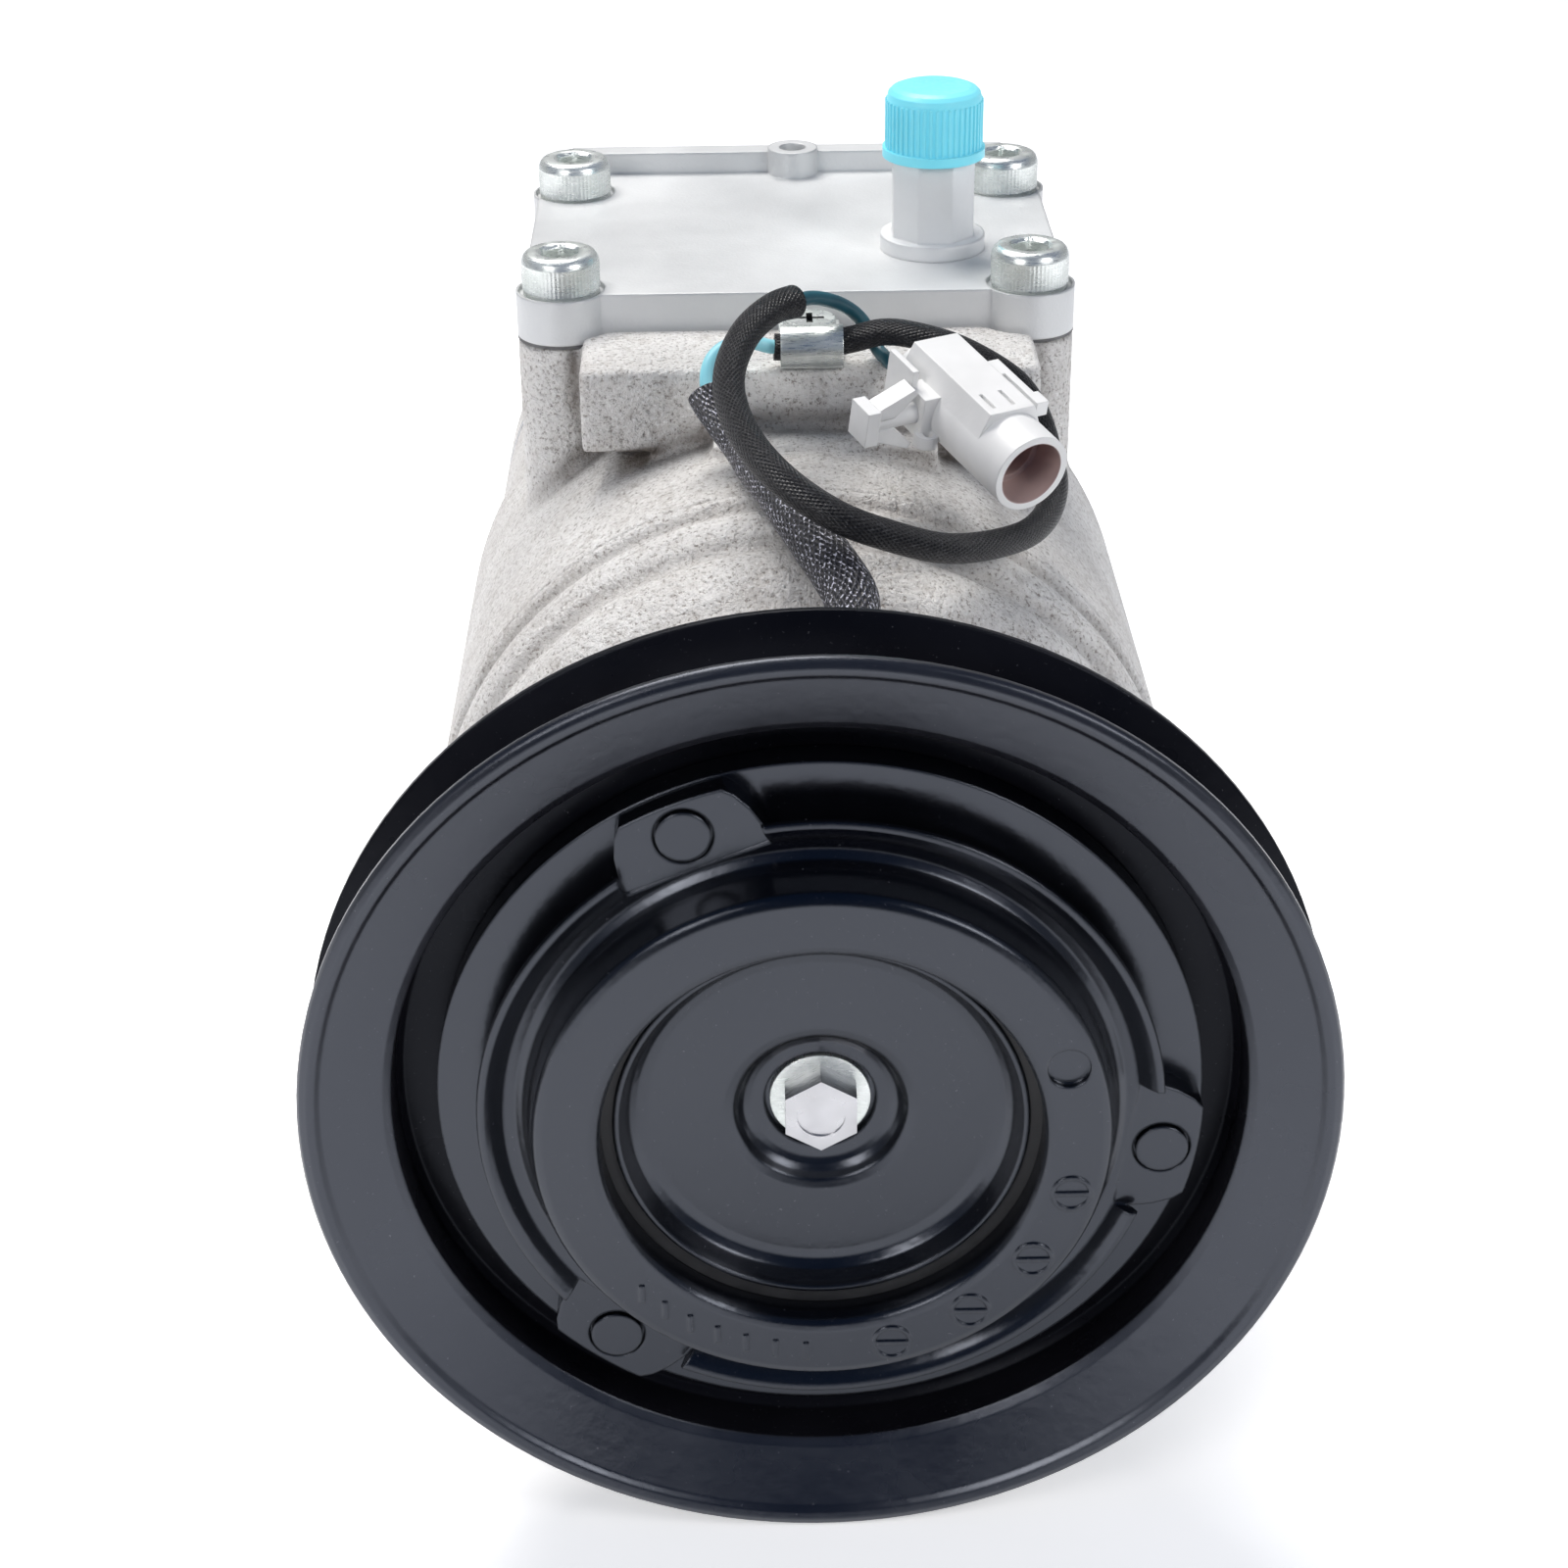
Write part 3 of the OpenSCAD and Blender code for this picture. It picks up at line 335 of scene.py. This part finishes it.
M = {
    "cast": sand_cast(),
    "cover": smooth_cast(),
    "turned": smooth_cast("turned_aluminium", (0.74, 0.75, 0.75), (0.84, 0.85, 0.85)),
    "zinc": plated(),
    "steel": steel(),
    "enamel": black_enamel("hub_enamel", ((0.002, 0.0022, 0.0035), (0.004, 0.0045, 0.006)),
                           gloss=(0.16, 0.26), reflect=0.85, edge=0.0007),
    "pulley": black_enamel("pulley_enamel", ((0.004, 0.004, 0.006), (0.008, 0.008, 0.011)),
                           gloss=(0.24, 0.34), reflect=1.0, edge=0.0006, dull_from=-0.001),
    "rubber": rubber(),
    "gasket": rubber("gasket_sheet", (0.10, 0.10, 0.10), (0.2, 0.2, 0.2)),
    "copper": plated("winding_wire", (0.45, 0.2, 0.08), (0.6, 0.3, 0.12)),
    # light: the cap glows by emission, painted light
    "cyan": plastic("cap_cyan", (0.18, 0.70, 0.84), (0.24, 0.78, 0.90), glow=0.25, light=0.18),
    "grey": plastic("plug_grey", (0.76, 0.76, 0.75), (0.86, 0.86, 0.85), glow=0.1,
                    inside=(PLUG_AT, PLUG_AIM, PLUG_BORE, PLUG_STEP, (0.50, 0.37, 0.35))),
    "teal": plastic("wire_teal", (0.008, 0.06, 0.085), (0.02, 0.12, 0.16)),
    "blue": plastic("wire_blue", (0.22, 0.62, 0.74), (0.36, 0.78, 0.86)),
    # the glint colour paints light specks as glints on the sleeves
    "wide_sleeve": woven("wide_sleeve", 26, 0.0017, (0.004, 0.004, 0.006), (0.035, 0.035, 0.045),
                         painted_glint=(0.75, 0.75, 0.85), shine=0.6),
    "loop_sleeve": woven("loop_sleeve", 24, 0.0011, (0.004, 0.004, 0.006), (0.012, 0.012, 0.014),
                         painted_glint=(0.06, 0.06, 0.065), shine=0.4),
}

NODE_LOOKS = {
    "cast": ["front_housing", "front_cylinder_block", "rear_cylinder_block", "rear_housing"],
    "cover": ["manifold_cover"],
    "turned": ["suction_port"] + [f"piston_{i}" for i in range(1, 6)],
    "zinc": ["through_bolts", "through_bolt_washers", "cover_bolts", "clutch_washer", "lead_clip",
             "clip_screw"],
    "enamel": ["hub_inner", "hub_cup", "armature_plate", "rivets"],
    "pulley": ["pulley"],
    "rubber": ["hub_damper", "shaft_seal", "bearing_seals", "coil_gland", "coil_lead", "loop_lead"],
    "gasket": ["block_gasket", "front_head_gasket", "rear_head_gasket", "manifold_gasket"],
    "copper": ["coil_winding"],
    "cyan": ["port_cap"],
    "grey": ["connector"],
    "blue": ["wire_lead"],
}


def paint_nodes():
    looks = {n: look for look, names in NODE_LOOKS.items() for n in names}
    for name, obj in nodes.items():
        obj.data.materials.clear()
        obj.data.materials.append(M[looks.get(name, "steel")])


paint_nodes()


# ---------- mesh helpers ----------

def add_mesh(name, verts, faces, look, body="housing", smooth=True):
    mesh = bpy.data.meshes.new(name)
    mesh.from_pydata([tuple(v) for v in verts], [], faces)
    mesh.validate()
    mesh.materials.append(M[look])
    if smooth:
        mesh.shade_smooth()
    obj = bpy.data.objects.new(name, mesh)
    bpy.context.scene.collection.objects.link(obj)
    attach(obj, body)
    return obj


def from_bmesh(name, bm, look, body="housing", smooth_angle=35):
    bmesh.ops.recalc_face_normals(bm, faces=bm.faces)
    mesh = bpy.data.meshes.new(name)
    bm.to_mesh(mesh)
    bm.free()
    mesh.materials.append(M[look])
    mesh.shade_smooth()
    mesh.set_sharp_from_angle(angle=math.radians(smooth_angle))
    obj = bpy.data.objects.new(name, mesh)
    bpy.context.scene.collection.objects.link(obj)
    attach(obj, body)
    return obj


def curve_through(points, per_span=8):
    """Catmull-Rom through the points, in the units given."""
    p = [np.array(q, float) for q in points]
    p = [2 * p[0] - p[1]] + p + [2 * p[-1] - p[-2]]
    line = []
    for i in range(1, len(p) - 2):
        a, b, c, d = p[i - 1:i + 3]
        for k in range(per_span):
            t = k / per_span
            line.append(0.5 * (2 * b + (c - a) * t + (2 * a - 5 * b + 4 * c - d) * t * t
                               + (3 * b - a - 3 * c + d) * t ** 3))
    line.append(p[-2])
    return np.array(line)


def tube(name, line, radius, look, sides=28, body="housing", open_end=False):
    """A tube along line (metres), with frames carried along it and a UV map (u round, v along in metres)."""
    line = np.array(line)
    steps = np.linalg.norm(np.diff(line, axis=0), axis=1)
    walk = np.concatenate([[0], np.cumsum(steps)])
    tangent = np.gradient(line, axis=0)
    tangent /= np.linalg.norm(tangent, axis=1)[:, None]
    rings = []
    side = np.cross(tangent[0], (0.3, 0.2, 1.0))
    for at, along, dist in zip(line, tangent, walk):
        side = side - along * side.dot(along)
        side /= np.linalg.norm(side)
        r = radius(dist / walk[-1]) if callable(radius) else radius
        rings.append((at, side, np.cross(along, side), r, dist))
    if open_end:
        at, side, up, r, dist = rings[-1]
        for inset, back in ((0.82, 0.0), (0.72, 0.0004), (0.66, 0.004)):
            rings.append((at - tangent[-1] * back, side, up, r * inset, dist))
    verts, faces, uvs = [], [], []
    for at, side, up, r, _ in rings:
        for k in range(sides):
            a = 2 * math.pi * k / sides
            verts.append(at + r * (math.cos(a) * side + math.sin(a) * up))
    for i in range(len(rings) - 1):
        for k in range(sides):
            j = (k + 1) % sides
            faces.append((i * sides + k, i * sides + j, (i + 1) * sides + j, (i + 1) * sides + k))
            low, high = rings[i][4], rings[i + 1][4]
            uvs += [(k / sides, low), ((k + 1) / sides, low), ((k + 1) / sides, high), (k / sides, high)]
    for ring, order in ((0, range(sides - 1, -1, -1)), (len(rings) - 1, range(sides))):
        faces.append([ring * sides + k for k in order])
        uvs += [(0.5, rings[ring][4])] * sides
    obj = add_mesh(name, verts, faces, look, body)
    layer = obj.data.uv_layers.new(name="UVMap")
    for loop, uv in zip(layer.data, uvs):
        loop.uv = uv
    return obj


def lathe_rings(bm, rings, centre):
    """Joins rings round a vertical axis into one closed solid; a ring is (radius or function, height)."""
    count = 120
    rows = []
    for radius, height in rings:
        row = []
        for k in range(count):
            a = 2 * math.pi * k / count
            r = radius(a, k) if callable(radius) else radius
            row.append(bm.verts.new(mm(centre[0] + r * math.cos(a), centre[1] + r * math.sin(a), height)))
        rows.append(row)
    for low, high in zip(rows, rows[1:]):
        for k in range(count):
            j = (k + 1) % count
            bm.faces.new((low[k], low[j], high[j], high[k]))
    bm.faces.new(rows[0][::-1])
    bm.faces.new(rows[-1])


def snap_inside(skin, original, radius):
    """Inner surfaces, nearer the shaft axis than radius, go back onto the exact CAD surface."""
    count = len(skin.vertices)
    flat = np.empty(count * 3)
    skin.vertices.foreach_get("co", flat)
    points = flat.reshape(-1, 3)
    tree = BVHTree.FromPolygons([v.co for v in original.vertices], [p.vertices[:] for p in original.polygons])
    for i in np.nonzero(np.hypot(points[:, 0], points[:, 2]) < radius * MM)[0]:
        points[i] = tree.find_nearest(Vector(points[i]))[0]
    skin.vertices.foreach_set("co", points.ravel())


def cast_copy(name, cad_node, voxel, rounds, inner_radius):
    """The CAD casting remade as one softly rounded skin."""
    rough = bpy.data.objects.new(name + "_rough", nodes[cad_node].data.copy())
    bpy.context.scene.collection.objects.link(rough)
    remesh = rough.modifiers.new("remesh", "REMESH")
    remesh.mode = "VOXEL"
    remesh.voxel_size = voxel * MM
    soften = rough.modifiers.new("soften", "SMOOTH")
    soften.factor = 0.5
    soften.iterations = rounds
    bpy.context.view_layer.update()
    graph = bpy.context.evaluated_depsgraph_get()
    skin = bpy.data.meshes.new_from_object(rough.evaluated_get(graph))
    bpy.data.objects.remove(rough)
    snap_inside(skin, nodes[cad_node].data, inner_radius)
    skin.materials.clear()
    skin.materials.append(M["cast"])
    skin.shade_smooth()
    obj = bpy.data.objects.new(name, skin)
    bpy.context.scene.collection.objects.link(obj)
    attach(obj, "housing")
    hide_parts(cad_node)


# ---------- lead ----------

COIL_LEAD = [
    (6, 34, 50), (6, 37, 51.5), (6, 41, 54), (6, 45, 56.5), (4, 50, 58.5), (2, 54, 60),
    (-1, 61, 61.8), (-4, 69, 63.2), (-7, 77, 64), (-9, 84, 64.6), (-12, 89, 67), (-14.5, 93, 70)]
BLUE_WIRE = [(-14.6, 95.5, 73), (-13, 98, 75), (-10, 100.5, 75.6), (-7, 102, 75)]
LOOP_LEAD = [
    (-4, 102.5, 74.1), (2, 102.5, 74.1), (8, 102.2, 75.2), (13.5, 101.2, 76.8), (19, 99.5, 76.6),
    (25.5, 98, 74.9), (32, 96, 71.7), (35.4, 94, 69), (37.6, 91.5, 65.4), (39, 88, 61), (39.5, 82.5, 57.5),
    (37, 74.5, 55.5), (31.5, 66, 56), (21, 55, 59.5), (11, 50.5, 64), (3.5, 50, 67.5), (-3.5, 54.5, 71),
    (-8.5, 62.5, 74), (-11, 71, 77), (-11, 77.5, 80), (-8.5, 85, 82.8), (-4.5, 91.5, 84.2), (-1, 95.5, 84)]
TEAL_WIRE = [
    (2, 99, 83.4), (5.2, 102, 81.8), (8, 104.6, 79.6), (10.2, 106.2, 77), (11.6, 106.4, 74.4),
    (12.9, 104.6, 72.4), (14.3, 101, 72), (15.7, 96.8, 71.6), (17, 93, 72.8), (18, 89.9, 75.7)]
PER_SPAN = 6
WIRE_R = 1.15
WIRE_SIDES = 16
SLEEVE_SIDES = 36


def wide_sleeve_radius(t):
    """The wide sleeve, slack where it leaves the pulley and drawn in at its cut end."""
    return (4.3 - 1.1 * t + 0.25 * max(0.0, t - 0.94) / 0.06) * MM


def loop_sleeve_radius(t):
    """The looped sleeve, tight over the clip and fuller towards its cut end."""
    return (2.15 + 0.3 * min(1.0, max(0.0, (t - 0.35) / 0.4)) + 0.2 * max(0.0, t - 0.97) / 0.03) * MM


def build_lead():
    whole = curve_through(COIL_LEAD + BLUE_WIRE + LOOP_LEAD + TEAL_WIRE, PER_SPAN) * MM
    first = (len(COIL_LEAD) - 1) * PER_SPAN
    loop_from = (len(COIL_LEAD) + len(BLUE_WIRE)) * PER_SPAN
    loop_to = loop_from + (len(LOOP_LEAD) - 1) * PER_SPAN
    wire = tube("lead_wires", whole, WIRE_R * MM, "blue", WIRE_SIDES)
    wide = tube("coil_sleeve", whole[:first + 1], wide_sleeve_radius, "wide_sleeve", SLEEVE_SIDES,
                open_end=True)
    loop = tube("loop_sleeve", whole[loop_from:loop_to + 1], loop_sleeve_radius, "loop_sleeve", SLEEVE_SIDES,
                open_end=True)
    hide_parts("coil_lead")
    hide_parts("loop_lead")
    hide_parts("wire_lead")
    wire.data.materials.append(M["teal"])
    for side in wire.data.polygons[loop_to * WIRE_SIDES:]:
        side.material_index = 1


build_lead()


# ---------- castings ----------

for cad, voxel, rounds, inner in (("front_housing", 0.7, 2, 46), ("front_cylinder_block", 0.7, 5, 56.3),
                                  ("rear_cylinder_block", 0.8, 5, 56.3), ("rear_housing", 0.8, 4, 46)):
    cast_copy(cad + "_casting", cad, voxel, rounds, inner)


# ---------- cover bolts ----------

BOLTS_AT = [(x, y) for x in (-39, 39) for y in (125.7, 179.7)]


def hexagon(flats):
    return lambda a, k: flats / 2 / math.cos((a + math.pi / 6) % (math.pi / 3) - math.pi / 6)


def knurl(radius, depth):
    return lambda a, k: radius - depth * (k % 2)


def build_cover_bolts():
    bm = bmesh.new()
    for at in BOLTS_AT:
        lathe_rings(bm, [
            (3.9, 50), (3.9, 75.7), (5.9, 75.7), (6.35, 75.9), (6.35, 76.6),
            (knurl(6.5, 0.02), 76.8), (knurl(6.5, 0.16), 77.1), (knurl(6.5, 0.16), 81.0),
            (knurl(6.5, 0.02), 81.3), (6.4, 81.7), (6.15, 82.3), (5.75, 82.75), (5.2, 82.98),
            (3.9, 83.0), (3.62, 82.9), (hexagon(6.1), 82.4), (hexagon(6), 79.4), (2.2, 79.0)], at)
    bolts = from_bmesh("cover_bolt_set", bm, "zinc", smooth_angle=28)
    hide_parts("cover_bolts")


build_cover_bolts()


# ---------- stage ----------

def build_stage():
    bm = bmesh.new()
    bmesh.ops.create_grid(bm, x_segments=2, y_segments=2, size=6)
    mesh = bpy.data.meshes.new("floor")
    bm.to_mesh(mesh)
    bm.free()
    mesh.materials.append(studio_floor())
    floor = bpy.data.objects.new("floor", mesh)
    floor.location.z = FLOOR_Z
    bpy.context.scene.collection.objects.link(floor)
    area_light("key", (-0.25, 0.50, 1.0), (0, 0.10, 0), (0.8, 0.45), 12.5, (1, 0.97, 0.935))
    area_light("left", (-0.55, -0.65, 0.55), (0, 0.08, 0), (0.4, 0.4), 3.4, (1, 0.97, 0.94))
    area_light("right", (0.70, -0.50, 0.60), (0, 0.08, 0), (0.4, 0.4), 3.8, (1, 0.98, 0.96))
    world = bpy.data.worlds.new("studio")
    world.use_nodes = True
    links = world.node_tree.links
    make = world.node_tree.nodes.new
    coords, split, ramp = make("ShaderNodeTexCoord"), make("ShaderNodeSeparateXYZ"), make("ShaderNodeValToRGB")
    lean = make("ShaderNodeMath")
    lean.operation = "MULTIPLY_ADD"
    lean.inputs[1].default_value = -0.45
    links.new(coords.outputs["Generated"], split.inputs["Vector"])
    links.new(split.outputs["Y"], lean.inputs[0])
    links.new(split.outputs["Z"], lean.inputs[2])
    links.new(lean.outputs["Value"], ramp.inputs["Fac"])
    links.new(ramp.outputs["Color"], world.node_tree.nodes["Background"].inputs["Color"])
    for stop, (at, colour) in zip((ramp.color_ramp.elements[0], ramp.color_ramp.elements[1]),
                                  ((0.15, (0.50, 0.51, 0.53, 1)), (0.5, (0.03, 0.09, 0.22, 1)))):
        stop.position = at
        stop.color = colour
    world.node_tree.nodes["Background"].inputs["Strength"].default_value = 0.6
    bpy.context.scene.world = world
    bpy.context.scene.view_settings.view_transform = "Standard"


build_stage()
